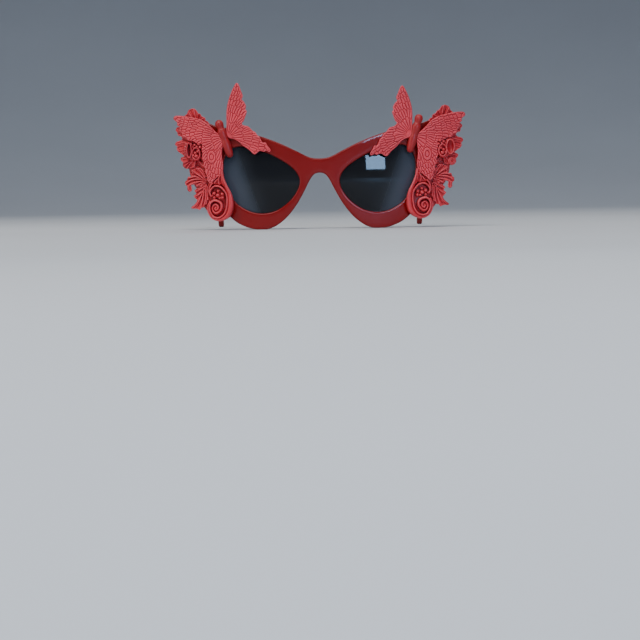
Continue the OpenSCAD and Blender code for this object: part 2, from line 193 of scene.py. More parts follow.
def add(name, data):
    """A new object in the scene."""
    obj = bpy.data.objects.new(name, data)
    bpy.context.scene.collection.objects.link(obj)
    return obj


def smooth_mesh(name, verts, faces, material):
    """A smooth mesh of one material."""
    mesh = bpy.data.meshes.new(name)
    mesh.from_pydata([tuple(v) for v in verts], [], [tuple(int(i) for i in f) for f in faces])
    mesh.polygons.foreach_set("use_smooth", [True] * len(mesh.polygons))
    mesh.materials.append(material)
    return mesh


def make(name, verts, faces, material, body="front", slot=None, nodes=(), painted_shade_and_highlight=None):
    """A smooth object that rides on a body and stands for the CAD nodes named."""
    mesh = smooth_mesh(name, verts, faces, material)
    bm = bmesh.new()
    bm.from_mesh(mesh)
    bmesh.ops.recalc_face_normals(bm, faces=bm.faces)
    bm.to_mesh(mesh)
    bm.free()
    # Painted shade and highlight for each point, 0.5 where none is painted
    layer = mesh.attributes.new("painted_shade_and_highlight", "FLOAT", "POINT")
    layer.data.foreach_set("value", np.full(len(verts), 0.5) if painted_shade_and_highlight is None else painted_shade_and_highlight)
    obj = add(name, mesh)
    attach(obj, body)
    if nodes:
        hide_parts(*nodes)
    return obj


def relief_painted_shading(depth, faces, rounds, reach):
    """How far each point stands out from its neighbours, towards 1, or is sunk between them, towards 0: the
    resins paint it as shade in the hollows and as a highlight on the ridges.
    """
    pairs = np.concatenate([np.array([(f[i], f[(i + 1) % len(f)]) for f in faces if len(f) == size])
                            for size in (3, 4) for i in range(size)])
    a, b = pairs.T
    count = len(depth)
    joined = np.bincount(a, minlength=count) + np.bincount(b, minlength=count)
    mean = depth.copy()
    for _ in range(rounds):
        mean = (np.bincount(a, mean[b], count) + np.bincount(b, mean[a], count)) / joined
    out = mean - depth
    out[count // 2:] *= -1
    return np.clip(0.5 + out / (2 * reach), 0, 1)


def triangulate(loops, spacing, rings, creases=()):
    """Points and triangles filling the first loop, without the others. Creases stay as lines of edges."""
    low, high = loops[0].min(0), loops[0].max(0)
    rows = np.arange(low[1], high[1], spacing * 0.866)
    grid = []
    for j, z in enumerate(rows):
        across = np.arange(low[0] + (j % 2) * spacing / 2, high[0], spacing)
        grid.append(np.stack([across, np.full(len(across), z)], 1))
    grid = np.concatenate(grid)
    edge = np.concatenate([np.concatenate([loop, np.roll(loop, -1, 0)], 1) for loop in loops])

    def keep(points, gap):
        points = points[within(points, loops)]
        for loop in loops:
            points = points[nearest(points, loop, True)[0] > gap]
        for loop in creases:
            points = points[nearest(points, loop, True)[0] > spacing * 0.3]
        return points

    last = rings[-1] if rings else 0
    extra = [keep(grid, last + spacing * 0.55)]
    for inset in rings:
        for k, loop in enumerate(loops):
            extra.append(keep(grow(loop, -inset if k == 0 else inset), inset * 0.9))
    fixed = list(loops) + list(creases)
    verts = np.concatenate(fixed + extra)
    edges, start = [], 0
    for loop in fixed:
        n = len(loop)
        edges += [(start + i, start + (i + 1) % n) for i in range(n)]
        start += n
    co, _, tris = delaunay_2d_cdt([Vector(v) for v in verts], edges, [], 0, 1e-5)[:3]
    co = np.array([(v[0], v[1]) for v in co])
    tris = np.array(tris)
    return co, tris[within(co[tris].mean(1), loops)]


def slab(loops, spacing, surface, rings=(), creases=()):
    """A closed sheet: surface(points, distance from the edge) gives its front and back heights."""
    loops = [anticlockwise(np.array(loop)) for loop in loops]
    co, tris = triangulate(loops, spacing, rings, creases)
    d = np.min([nearest(co, loop, True)[0] for loop in loops], 0)
    front, back = surface(co, d)
    n = len(co)
    directed = np.concatenate([tris[:, [0, 1]], tris[:, [1, 2]], tris[:, [2, 0]]])
    code = directed[:, 0] * n + directed[:, 1]
    rim = directed[~np.isin(code, directed[:, 1] * n + directed[:, 0])]
    walls = [(b, a, a + n, b + n) for a, b in rim]
    faces = [tuple(t) for t in tris] + [tuple(t[::-1] + n) for t in tris] + walls
    return np.concatenate([co, co]), np.concatenate([front, back]), faces


def relief(name, side, loops, spacing, surface, material, rings=(), painted_shading_spread=(14, 0.8), **more):
    """A slab lying on the front, seen from ahead."""
    p, depth, faces = slab(loops, spacing, surface, rings)
    # Painted shade in the hollows and painted highlight on the ridges, from how far each point stands out
    painted_shade_and_highlight = relief_painted_shading(depth, faces, *painted_shading_spread) if painted_shading_spread else None
    return make(name, to_row(side, p[:, 0], depth, p[:, 1]), faces, material, painted_shade_and_highlight=painted_shade_and_highlight, **more)


def lathe(rings, steps, point):
    """A closed tube: rings of (distance along, radius), placed by point(along, radius, angle)."""
    verts, faces = [], []
    angles = np.arange(steps) * 2 * math.pi / steps
    for s, r in rings:
        verts += [point(s, r, a) for a in angles]
    for i in range(len(rings) - 1):
        for j in range(steps):
            k = (j + 1) % steps
            faces.append((i * steps + j, i * steps + k, (i + 1) * steps + k, (i + 1) * steps + j))
    faces.append(tuple(range(steps)))
    faces.append(tuple((len(rings) - 1) * steps + j for j in range(steps)))
    return np.array(verts), faces


def beads(name, side, places, material, **more):
    """Small berries at (x, height above the face, z, radius)."""
    bm = bmesh.new()
    verts, faces = [], []
    bmesh.ops.create_icosphere(bm, subdivisions=3, radius=1)
    ball = np.array([v.co for v in bm.verts])
    tris = [[v.index for v in f.verts] for f in bm.faces]
    bm.free()
    # Painted highlight on each berry's front and painted shade on its back
    painted_shade_and_highlight = np.tile(0.5 - 0.5 * ball[:, 1], len(places))
    for x, height, z, r in places:
        lumps = 1 + 0.05 * bump(ball[:, :2] + x, int(z * 10), 1.1, 1)
        p = ball * (r * lumps)[:, None] + (x, face_depth(x) - height, z)
        faces += [[i + len(verts) * len(ball) for i in t] for t in tris]
        verts.append(p)
    p = np.concatenate(verts)
    return make(name, to_row(side, *p.T), faces, material, painted_shade_and_highlight=painted_shade_and_highlight, **more)


# ---- materials

def shader(name):
    """A new material with its nodes, links and main shader."""
    material = bpy.data.materials.new(name)
    material.use_nodes = True
    nodes = material.node_tree.nodes
    return material, nodes, material.node_tree.links, nodes["Principled BSDF"]


def put(node, values):
    """Set a node's inputs."""
    for name, value in values.items():
        node.inputs[name].default_value = value


def ramp(nodes, links, source, stops):
    """A colour ramp over a source, with stops of (place, colour)."""
    node = nodes.new("ShaderNodeValToRGB")
    while len(node.color_ramp.elements) < len(stops):
        node.color_ramp.elements.new(0.5)
    for element, (at, color) in zip(node.color_ramp.elements, stops):
        element.position = at
        element.color = (*color, 1)
    links.new(source, node.inputs["Fac"])
    return node


def noise(nodes, links, scale, detail=3):
    """Soft noise fixed to the object."""
    where = nodes.new("ShaderNodeTexCoord")
    node = nodes.new("ShaderNodeTexNoise")
    put(node, {"Scale": scale, "Detail": detail})
    links.new(where.outputs["Object"], node.inputs["Vector"])
    return node


def place(nodes, links):
    """The place on the object, as X, Y and Z."""
    where = nodes.new("ShaderNodeTexCoord")
    split = nodes.new("ShaderNodeSeparateXYZ")
    links.new(where.outputs["Object"], split.inputs["Vector"])
    return split.outputs


def smooth_step(nodes, links, source, low, high):
    """A source spread smoothly over 0 to 1, from one value to another."""
    node = nodes.new("ShaderNodeMapRange")
    node.interpolation_type = "SMOOTHSTEP"
    put(node, {"From Min": low, "From Max": high})
    links.new(source, node.inputs["Value"])
    return node.outputs["Result"]


def roughness(nodes, links, source, low, high, bsdf):
    """Roughness that follows a noise between two values."""
    spread = nodes.new("ShaderNodeMapRange")
    put(spread, {"To Min": low, "To Max": high})
    links.new(source.outputs["Fac"], spread.inputs["Value"])
    links.new(spread.outputs["Result"], bsdf.inputs["Roughness"])


def mottled(nodes, links, tone, scale, stops, bsdf):
    """The base colour: a tone multiplied by the stops of a ramp over noise."""
    mottle = ramp(nodes, links, noise(nodes, links, scale).outputs["Fac"], stops)
    mix = nodes.new("ShaderNodeMix")
    mix.data_type = "RGBA"
    mix.blend_type = "MULTIPLY"
    put(mix, {"Factor": 1})
    links.new(tone.outputs["Color"], mix.inputs["A"])
    links.new(mottle.outputs["Color"], mix.inputs["B"])
    links.new(mix.outputs["Result"], bsdf.inputs["Base Color"])


def acetate():
    """Deep red, polished, with a faint cloudiness."""
    material, nodes, links, bsdf = shader("acetate")
    cloud = noise(nodes, links, 45)
    tone = ramp(nodes, links, cloud.outputs["Fac"],
                [(0.3, (0.185, 0.0055, 0.006)), (0.7, (0.21, 0.0075, 0.008))])
    links.new(tone.outputs["Color"], bsdf.inputs["Base Color"])
    roughness(nodes, links, noise(nodes, links, 160, 2), 0.06, 0.11, bsdf)
    put(bsdf, {"IOR": 1.48, "Specular IOR Level": 0.27})
    return material


def lens_tint_and_painted_reflection():
    """Dark grey, letting some light through; lighter and bluer towards the outer and lower edge as a
    painted reflection.
    """
    lean, dark_to, light_from = -0.35, 0.024, 0.046
    material, nodes, links, bsdf = shader("lens_tint_and_painted_reflection")
    at = place(nodes, links)
    out = nodes.new("ShaderNodeMath")
    out.operation = "ABSOLUTE"
    links.new(at["X"], out.inputs[0])
    slant = nodes.new("ShaderNodeMath")
    slant.operation = "MULTIPLY_ADD"
    put(slant, {1: lean})
    links.new(at["Z"], slant.inputs[0])
    links.new(out.outputs["Value"], slant.inputs[2])
    # The lighter, bluer outer and lower part of the lens is a painted reflection
    tone = ramp(nodes, links, smooth_step(nodes, links, slant.outputs["Value"], dark_to, light_from),
                [(0.0, (0.008, 0.0085, 0.0105)), (0.4, (0.016, 0.018, 0.022)),
                 (1.0, (0.06, 0.073, 0.094))])
    links.new(tone.outputs["Color"], bsdf.inputs["Base Color"])
    roughness(nodes, links, noise(nodes, links, 90, 2), 0.02, 0.05, bsdf)
    put(bsdf, {"Specular IOR Level": 0.3})
    clear = nodes.new("ShaderNodeBsdfTransparent")
    put(clear, {"Color": (0.22, 0.25, 0.29, 1)})
    mix = nodes.new("ShaderNodeMixShader")
    put(mix, {"Fac": 0.8})
    links.new(clear.outputs["BSDF"], mix.inputs[1])
    links.new(bsdf.outputs["BSDF"], mix.inputs[2])
    links.new(mix.outputs["Shader"], nodes["Material Output"].inputs["Surface"])
    return material


def resin(name, hollow, plain, crest, rough):
    """Cast coral red resin, with painted shade in the hollows and a painted highlight on the ridges."""
    material, nodes, links, bsdf = shader(name)
    shape = nodes.new("ShaderNodeAttribute")
    shape.attribute_name = "painted_shade_and_highlight"
    tone = ramp(nodes, links, shape.outputs["Fac"], [(0.1, hollow), (0.5, plain), (0.9, crest)])
    mottled(nodes, links, tone, 120, [(0.35, (0.9, 0.86, 0.86)), (0.65, (1.06, 1.06, 1.06))], bsdf)
    roughness(nodes, links, noise(nodes, links, 500, 2), rough - 0.06, rough + 0.06, bsdf)
    put(bsdf, {"Specular IOR Level": 0.32, "Subsurface Weight": 0.12,
               "Subsurface Radius": (1.0, 0.25, 0.2), "Subsurface Scale": 0.0006})
    return material


def steel():
    """Satin steel with fine drawn lines."""
    material, nodes, links, bsdf = shader("steel")
    where = nodes.new("ShaderNodeTexCoord")
    stretch = nodes.new("ShaderNodeMapping")
    put(stretch, {"Scale": (4000, 4000, 300)})
    lines = nodes.new("ShaderNodeTexNoise")
    links.new(where.outputs["Object"], stretch.inputs["Vector"])
    links.new(stretch.outputs["Vector"], lines.inputs["Vector"])
    tone = ramp(nodes, links, lines.outputs["Fac"], [(0.3, (0.5, 0.49, 0.47)), (0.7, (0.68, 0.66, 0.63))])
    links.new(tone.outputs["Color"], bsdf.inputs["Base Color"])
    roughness(nodes, links, lines, 0.22, 0.38, bsdf)
    put(bsdf, {"Metallic": 1})
    return material


# ---- frame front, lenses and temples

FRONT_HALF = [(7, 46.7), (16, 51.2), (27, 56.4), (40, 61.2), (54, 65.2), (66, 67.6), (73, 70.4),
    (78, 73.4), (81, 70.5), (79.5, 60), (76.5, 45), (71.5, 29), (64.5, 15.5), (56, 6), (47, 1.3),
    (38, -0.2), (30, 1.6), (22, 7.4), (15, 16), (9.8, 25), (6.3, 31.8), (3.5, 35.3)]
LENS_OPENING = [(62.8, 40.5), (62, 46), (59.8, 50.6), (55.5, 53.5), (50, 54.1), (43, 52.8),
    (36.5, 50.6), (30, 47.7), (22, 43), (16.4, 38.4), (13.4, 33.5), (13.2, 29), (15.2, 24), (20, 18),
    (27, 12.9), (34, 10.7), (41, 10.7), (48, 13), (55, 18), (59.6, 25.5), (62, 33)]
# The bridge's upper and lower edge in the middle, and the rounding of the front's edges
BRIDGE_TOP, BRIDGE_LOW = 45.6, 36.3
EDGE_R = 0.95


def front_plate(material):
    """The polished plate with both lens openings, its edges rounded."""
    mirrored = [(-x, z) for x, z in reversed(FRONT_HALF)]
    outline = spline([(0, BRIDGE_TOP)] + FRONT_HALF + [(0, BRIDGE_LOW)] + mirrored, 10)
    outline[:, 1] = np.maximum(outline[:, 1], 0)
    right = spline(LENS_OPENING, 8)
    left = right * (-1, 1)

    def surface(p, d):
        drop = EDGE_R * (1 - quarter_round(d, EDGE_R))
        face = face_depth(p[:, 0])
        return face + drop, face + FRONT_T - drop

    rings = [EDGE_R * f for f in (0.04, 0.14, 0.3, 0.5, 0.75, 1.05)]
    relief("front_plate", "right", [outline, right, left], 1.6, surface, material, rings=rings,
           painted_shading_spread=None, slot="frame_acetate", nodes=["frame_front"])


def close_into(bm, step):
    """Close an open mesh: its rim is drawn out by the step, into the piece it grows from, and capped."""
    rim = [e for e in bm.edges if e.is_boundary]
    drawn = bmesh.ops.extrude_edge_only(bm, edges=rim)["geom"]
    bmesh.ops.translate(bm, verts=[g for g in drawn if isinstance(g, bmesh.types.BMVert)], vec=step)
    bmesh.ops.holes_fill(bm, edges=[e for e in bm.edges if e.is_boundary])
    bmesh.ops.triangulate(bm, faces=bm.faces)
    bmesh.ops.recalc_face_normals(bm, faces=bm.faces)


def end_blocks(material):
    """The end pieces behind the front, cut out of the CAD model's own front."""
    inner_x, outer_x, low_depth = 60.4, 74.5, 13.2
    below, above, sunk, edge_r = 8.1, 9.1, 1.2, 0.25
    flat_angle, sharp_angle = math.radians(2), 0.6
    for side, sign in SIDES.items():
        bm = bmesh.new()
        bm.from_mesh(frame["nodes"]["frame_front"].data)
        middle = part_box("front_hinge_" + side)
        centre_z = (middle[0].z + middle[1].z) / 2
        cuts = [((0, FRONT_Y + low_depth * MM, 0), (0, 1, 0)), ((sign * inner_x * MM, 0, 0), (sign, 0, 0)),
                ((sign * outer_x * MM, 0, 0), (-sign, 0, 0)), ((0, 0, centre_z - below * MM), (0, 0, 1)),
                ((0, 0, centre_z + above * MM), (0, 0, -1))]
        for point, keep in cuts:
            geometry = bm.verts[:] + bm.edges[:] + bm.faces[:]
            bmesh.ops.bisect_plane(bm, geom=geometry, dist=1e-7, plane_co=point, plane_no=keep,
                                   clear_inner=True)
        bmesh.ops.remove_doubles(bm, verts=bm.verts, dist=1e-6)
        bmesh.ops.dissolve_limit(bm, angle_limit=flat_angle, verts=bm.verts, edges=bm.edges)
        sharp = [e for e in bm.edges if len(e.link_faces) == 2 and e.calc_face_angle(0) > sharp_angle]
        bmesh.ops.bevel(bm, geom=sharp, offset=edge_r * MM, segments=2, profile=0.5, affect="EDGES",
                        clamp_overlap=True)
        close_into(bm, (0, -sunk * MM, 0))
        obj = add("end_block_" + side, bpy.data.meshes.new("end_block_" + side))
        bm.to_mesh(obj.data)
        bm.free()
        obj.data.materials.append(material)
        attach(obj, "front")


def lenses(material):
    """Spherical lenses, a little sunk behind the front's face and a little wider than their openings."""
    lens_r, lens_t, lens_x, lens_z = 130.0, 1.9, 38.0, 32.0
    sunk, wider = 0.5, 0.3
    wrap = math.asin(lens_x / FRONT_R)
    centre_x = lens_x - lens_r * math.sin(wrap)
    centre_d = face_depth(lens_x) + sunk + lens_r * math.cos(wrap)

    def surface(p, d):
        flat = (p[:, 0] - centre_x) ** 2 + (p[:, 1] - lens_z) ** 2
        return centre_d - np.sqrt(lens_r ** 2 - flat), centre_d - np.sqrt((lens_r - lens_t) ** 2 - flat)

    outline = grow(anticlockwise(spline(LENS_OPENING, 6)), wider)
    for side in SIDES:
        relief("lens_" + side + "_clear", side, [outline], 1.5, surface, material, rings=[0.5],
               painted_shading_spread=None, slot="lens_tint", nodes=["lens_" + side])


# The temple: slopes in degrees, lengths along it, and half its height at the butt, middle and tip
TEMPLE_SLOPE = 10.0
TEMPLE_STRAIGHT = 88.0
EAR_TURN = 44.0
EAR_R = 24.0
BUTT_HALF = 7.0
ARM_HALF = 3.5
TAPER = 50.0
TIP_R = 4.2
TIP_FLAT = 0.2
# Where the hinge turns, and where the temple lies
HINGE = next(j for j in frame["record"]["behaviour"]["joints"] if j["name"] == "temple_right_fold")["pos_m"]
HINGE_Z = HINGE[2] / MM
BUTT = (HINGE[1] - FRONT_Y) / MM
TEMPLE_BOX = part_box("temple_right")
TEMPLE_X = TEMPLE_BOX[0].x / MM
TEMPLE_T = (TEMPLE_BOX[1].x - TEMPLE_BOX[0].x) / MM


def heading(degrees):
    """A unit step in that direction."""
    a = math.radians(degrees)
    return np.array([math.cos(a), math.sin(a)])


def temple_line():
    """A temple's centre line: distance behind the end piece, height, slope and half height."""
    turn_len = EAR_R * math.radians(EAR_TURN)
    centre = TEMPLE_STRAIGHT * heading(-TEMPLE_SLOPE) - EAR_R * heading(90 - TEMPLE_SLOPE)
    last = TEMPLE_SLOPE + EAR_TURN
    bend_end = centre + EAR_R * heading(90 - last)
    tip = (HINGE_Z + bend_end[1] - TIP_R + TIP_FLAT) / math.sin(math.radians(last))
    total = TEMPLE_STRAIGHT + turn_len + tip
    line = []
    for s in np.linspace(0, total, 90):
        slope = TEMPLE_SLOPE + EAR_TURN * min(1, max(0, (s - TEMPLE_STRAIGHT) / turn_len))
        if s <= TEMPLE_STRAIGHT:
            p = s * heading(-slope)
        elif s <= TEMPLE_STRAIGHT + turn_len:
            p = centre + EAR_R * heading(90 - slope)
        else:
            p = bend_end + (s - TEMPLE_STRAIGHT - turn_len) * heading(-last)
        half = BUTT_HALF + (ARM_HALF - BUTT_HALF) * ease(s / TAPER)
        half += (TIP_R - ARM_HALF) * ease((s - TAPER) / (total - TAPER))
        line.append((p, slope, float(half)))
    return line


def temples(material):
    """The two temples, with a pocket on the inside for the hinge leaf."""
    line = temple_line()
    up = [p + h * heading(90 - a) for p, a, h in line]
    down = [p - h * heading(90 - a) for p, a, h in line]
    tip, slope, _ = line[-1]
    cap = [tip + TIP_R * heading(a - slope) for a in range(81, -90, -9)]
    outline = np.array(up + cap + down[::-1])
    outline[:, 0] = np.maximum(outline[:, 0], 0.1)
    outline[:, 1] = np.maximum(outline[:, 1], -HINGE_Z)
    edge_r = 1.2
    pocket_near, pocket_far, pocket_half, pocket_depth = 0.3, 13.05, 3.05, 1.0
    slack, wall = 0.01, 0.06

    def pocket_loop(grown):
        high = pocket_half + grown
        near, far = pocket_near - grown, pocket_far + grown
        return spline([(near, -high), (far, -high), (far, high), (near, high)], 1)

    def surface(p, d):
        drop = edge_r * (1 - quarter_round(d, edge_r))
        inner = TEMPLE_X + drop
        sunk = (np.abs(p[:, 1]) < pocket_half + slack) & (p[:, 0] < pocket_far + slack)
        inner[sunk] = TEMPLE_X + pocket_depth
        return inner, TEMPLE_X + TEMPLE_T - drop

    rings = [edge_r * f for f in (0.05, 0.18, 0.4, 0.7, 1.05)]
    p, across, faces = slab([outline], 1.2, surface, rings, [pocket_loop(0), pocket_loop(wall)])
    for side in SIDES:
        make("temple_arm_" + side, to_row(side, across, BUTT + p[:, 0], HINGE_Z + p[:, 1]), faces, material,
             body="temple_" + side, slot="frame_acetate", nodes=["temple_" + side])


def nose_pads(material):
    """Almonds moulded to the back of the front."""
    length, radius = 15.0, 3.3
    rings = [(length * (1 - math.cos(a)) / 2, max(0.02, radius * math.sin(a) ** 0.8))
             for a in np.linspace(0.02, math.pi - 0.02, 25)]
    lean, tip = math.radians(-30), math.radians(14)
    pose = Matrix.Rotation(lean, 3, "Y") @ Matrix.Rotation(tip, 3, "X")
    middle, seat = np.array([15.4, 0, 22]), face_depth(15.0) + FRONT_T + 0.8
    sunk = 0.3
    for side in SIDES:
        def point(s, r, a):
            v = pose @ Vector((r * math.cos(a), r * math.sin(a), s - length / 2))
            at = np.array(v) + middle + (0, seat, 0)
            at[1] = max(at[1], face_depth(at[0]) + FRONT_T - sunk)
            return at
        verts, faces = lathe(rings, 40, point)
        make("pad_" + side, to_row(side, *verts.T), faces, material,
             slot="frame_acetate", nodes=["nose_pad_" + side])


# ---- butterfly

# Where the wings meet, and how deep the body's axis lies
ROOT = np.array([59.5, 60.0])
BODY_D = 5.9
INNER_FORE = [(60.3, 62), (60, 68), (60, 73.6), (59.6, 78.8), (58.3, 84), (56.4, 89), (54.2, 93.3),
    (52.9, 94.6), (51.6, 93.5), (50.3, 89.7), (49, 86), (49.9, 84), (48.4, 82.4), (47, 79.4),
    (47.6, 77.6), (46.6, 76), (47.4, 73.6), (48.6, 70.2), (50, 68.4)]
INNER_HIND = [(48.7, 67), (45.8, 66.5), (43, 63.4), (41.6, 62.9), (39.7, 60.2), (38.9, 59.8),
    (37.8, 57.6), (36.5, 55.7), (34.8, 55.7), (33.6, 53.8), (31.5, 51), (32.4, 49.6), (34.4, 50.4),
    (35.9, 49.7), (38.5, 50.4), (40.2, 49.2), (42, 48.2), (43.6, 49.2), (45.5, 51.2), (49.4, 53.8),
    (51.9, 56.3), (55.1, 58.3), (58.6, 59)]
OUTER_FORE = [(64, 60.5), (68.7, 64.7), (73.2, 69.4), (77.7, 72), (84.1, 73.8), (90.5, 74.8),
    (95, 74.8), (95.9, 72.6), (93.4, 70.6), (93.6, 68.8), (91.8, 67.6), (92.3, 65.2), (90.4, 63.8),
    (90.2, 61.2), (87.6, 60.6), (86.4, 58.4), (83, 58), (80.6, 56.4)]
OUTER_HIND = [(77, 56), (77.6, 52.6), (76.8, 50), (77.4, 47), (76.2, 44.6), (76.4, 41.8), (75.2, 40),
    (75.4, 37.4), (74.2, 35.8), (74.2, 33.2), (72.8, 30.8), (71, 31), (69.2, 33), (66.4, 35),
    (64, 37.6), (63.4, 42), (64.2, 49.3), (63.4, 56)]
# The inner wings' lift, the radius that the outer wings bend by, and the thickness of both
LIFT = math.radians(12)
BEND_R = 60.0
WING_T = 1.4
# Rows of wing cells: distance from the root, length and width
CELL_ROWS = [(6.0, 9.0, 1.3), (13.5, 6.0, 1.45), (18.8, 4.6, 1.6), (22.9, 3.6, 1.7), (26.2, 3.0, 1.8),
    (29.1, 2.8, 1.8), (31.9, 2.7, 1.8), (34.6, 2.7, 1.8), (37.3, 2.7, 1.8), (40.0, 2.7, 1.8)]
# Half a vein's width, and the middle of the eye on an outer wing
VEIN_HALF = 0.42
EYE_SPOT = np.array([70.2, 47.6])


def cell_seeds(span, seed):
    """Cell centres in rows around the root: angle, distance, and the scales that make one cell 1 by 1."""
    r = np.random.default_rng(seed)
    uneven = 0.25
    seeds = []
    for radius, length, width in CELL_ROWS:
        count = round((span[1] - span[0]) * radius / width)
        step = (span[1] - span[0]) / count
        for k in range(-1, count + 1):
            angle = span[0] + step * (k + r.uniform(0.3, 0.7))
            reach = radius + length * r.uniform(-uneven, uneven)
            seeds.append((angle, reach, 1 / step, 1 / length))
    return np.array(seeds)


def wing_cells(p, span, seed, curl, spot):
    """A net of veins, long cells at the root and small ones at the margin: 0 on a vein, 1 in a cell."""
    x, z = (p - ROOT).T
    rad = np.hypot(x, z)
    middle = sum(span) / 2
    ang = (np.arctan2(z, x) - middle + math.pi) % (2 * math.pi) - math.pi + middle
    ang += 0.05 * bump(p, seed + 1, 14) + curl * rad
    seeds = cell_seeds(span, seed)
    across = (ang[:, None] - seeds[:, 0]) * seeds[:, 2]
    along = (rad[:, None] - seeds[:, 1]) * seeds[:, 3]
    far = np.hypot(across, along)
    two = np.argpartition(far, 2, axis=1)[:, :2]
    rows = np.arange(len(p))[:, None]
    far = np.maximum(far[rows, two], 1e-6)
    slope_across = across[rows, two] * seeds[two, 2] / far / np.maximum(rad, 1)[:, None]
    slope_along = along[rows, two] * seeds[two, 3] / far
    steep = np.hypot(slope_across[:, 1] - slope_across[:, 0], slope_along[:, 1] - slope_along[:, 0])
    gap = np.abs(far[:, 1] - far[:, 0]) / np.maximum(steep, 1e-6)
    if spot:
        tall, pupil, iris = 1.5, 1.3, 2.9
        oval = np.hypot(p[:, 0] - EYE_SPOT[0], (p[:, 1] - EYE_SPOT[1]) / tall)
        rings = np.minimum(np.abs(oval - pupil), np.abs(oval - iris))
        gap = np.where(oval < iris, rings, np.minimum(gap, rings))
    return 1 - (1 - ease(gap / VEIN_HALF)) * ease((rad - 1.5) / 2.5)


def wing(name, side, outline, seed, span, curl, mid, node, material):
    """A thin sheet about its middle surface, with cells between sunk veins and a raised margin."""
    height = 0.6

    def surface(p, d):
        thin = 0.55 + 0.45 * quarter_round(d, 1.6)
        cells = wing_cells(p, span, seed, curl, name.startswith("wing_outer"))
        rim = np.exp(-((d - 0.45) / 0.4) ** 2)
        swell = 0.25 * bump(p, seed + 5, 14, 1)
        centre = mid(p[:, 0], p[:, 1]) + swell
        top = (WING_T / 2) * thin + height * (cells - 0.6) * ease(d / 0.7) + 0.15 * rim
        return centre - top, centre + (WING_T / 2) * thin * quarter_round(d + 0.1, 0.6)

    loop = rounded(anticlockwise(spline(outline, 6)), 3)
    relief(name, side, [loop], 0.2, surface, material, painted_shading_spread=(10, 0.28), slot="wing_resin", nodes=[node])


def butterfly_wings(material):
    """Both pairs of wings, turned and shifted a little on each side."""
    fore_turn = {"left": 0, "right": -2}
    fore_reach = {"left": 1, "right": 0.93}
    hind_turn = {"left": 0, "right": 5}
    shift = {"left": (0, 0.6), "right": (0.4, -0.4)}
    out_shift = {"left": (-0.8, 0), "right": (0, 0)}

    def lifted(x, z):
        """Depth of the inner wings' middle surface, standing off the front towards the nose."""
        bow = 0.9 * np.sin(np.clip((62 - x) / 30, 0, 1) * math.pi)
        return BODY_D - 0.6 - math.tan(LIFT) * (ROOT[0] - x) + bow - 0.02 * np.clip(z - 70, 0, 30)

    def bent(x, z):
        """Depth of the outer wings' middle surface, bending back from the body."""
        wave = 0.4 * np.sin((z - 34) / 41 * math.pi)
        return BODY_D - 1 + BEND_R - np.sqrt(BEND_R ** 2 - (x - 62) ** 2) + wave

    for k, side in enumerate(SIDES):
        fore = ROOT + (np.array(INNER_FORE) - ROOT) * (1, fore_reach[side])
        inner = np.concatenate([turned(fore, fore_turn[side], ROOT),
                                turned(INNER_HIND, hind_turn[side], ROOT)])
        wing("wing_inner_" + side, side, inner + shift[side], 21 + k, (1.1, 4.2), -0.006, lifted,
             "inner_wing_" + side, material)
        outer = np.array(OUTER_FORE + OUTER_HIND) + out_shift[side]
        wing("wing_outer_" + side, side, outer, 31 + k, (-1.6, 1.3), 0.008, bent,
             "outer_wing_" + side, material)


def butterfly_bodies(material):
    """Round head, thorax and a long tapering abdomen, a little flattened."""
    tail, head = np.array([58.4, 49.0]), np.array([64.8, 69.6])
    profile = spline([(-1.3, 0.2), (-0.9, 1.3), (0.6, 2.2), (4, 2.7), (8, 2.9), (10.8, 2.5), (12.4, 2.7),
                      (15.6, 2.95), (17.6, 2.6), (18.6, 2.2), (20, 2.5), (21.8, 2.7), (23.6, 1.9),
                      (24.4, 0.3)], 6, closed=False)
    shift = {"left": (-0.4, -0.7), "right": (0.5, 0.9)}
    for side in SIDES:
        lean = math.atan2(head[0] - tail[0], head[1] - tail[1]) + math.radians(1 if side == "left" else -1)
        start = tail + shift[side]

        def point(s, r, a):
            across = r * math.cos(a)
            out = 0.95 * r * math.sin(a)
            return (start[0] + s * math.sin(lean) + across * math.cos(lean), BODY_D - out,
                    start[1] + s * math.cos(lean) - across * math.sin(lean))

        verts, faces = lathe(profile, 48, point)
        make("butterfly_" + side, to_row(side, *verts.T), faces, material,
             slot="wing_resin", nodes=["butterfly_body_" + side])


# ---- scroll spray

# How far the spray's backing stands out from the front's face
BASE = 1.8
SPRAY_BASE = [(66, 7.5), (71, 9.6), (75.6, 14.8), (79, 20), (79.6, 25.5), (82.6, 30), (84.8, 36),
    (86, 43), (88, 50), (88.4, 58), (87, 66), (84, 74), (79.6, 76), (76.4, 72.6), (73.4, 65), (71, 56),
    (69.4, 46), (66.8, 36), (62.4, 29), (59.6, 20), (60, 12)]
LEAF_LOWER = [(75, 31), (77.6, 29.6), (78.6, 27.8), (80.4, 27.4), (82, 25.8), (81, 24), (82.6, 22.4),
    (81.4, 20.8), (80.4, 19.4), (81.8, 17.2), (84.2, 15.2), (83.8, 14.2), (81, 14.2), (78.6, 13.4),
    (77.4, 14.8), (75.9, 14.9), (75.4, 16.6), (74, 17.2), (73.9, 19), (73, 20.4), (73.4, 24),
    (73.2, 28)]
LOWER_RIBS = [[(74.2, 29), (77, 24), (80, 18), (83.4, 14.8)], [(74.4, 29), (78, 27), (81.2, 25.4)],
    [(76, 26), (79, 23.6), (82, 22)], [(76, 25), (77, 19), (78.4, 14.4)], [(74.6, 27), (74.8, 21),
    (75.6, 16)]]
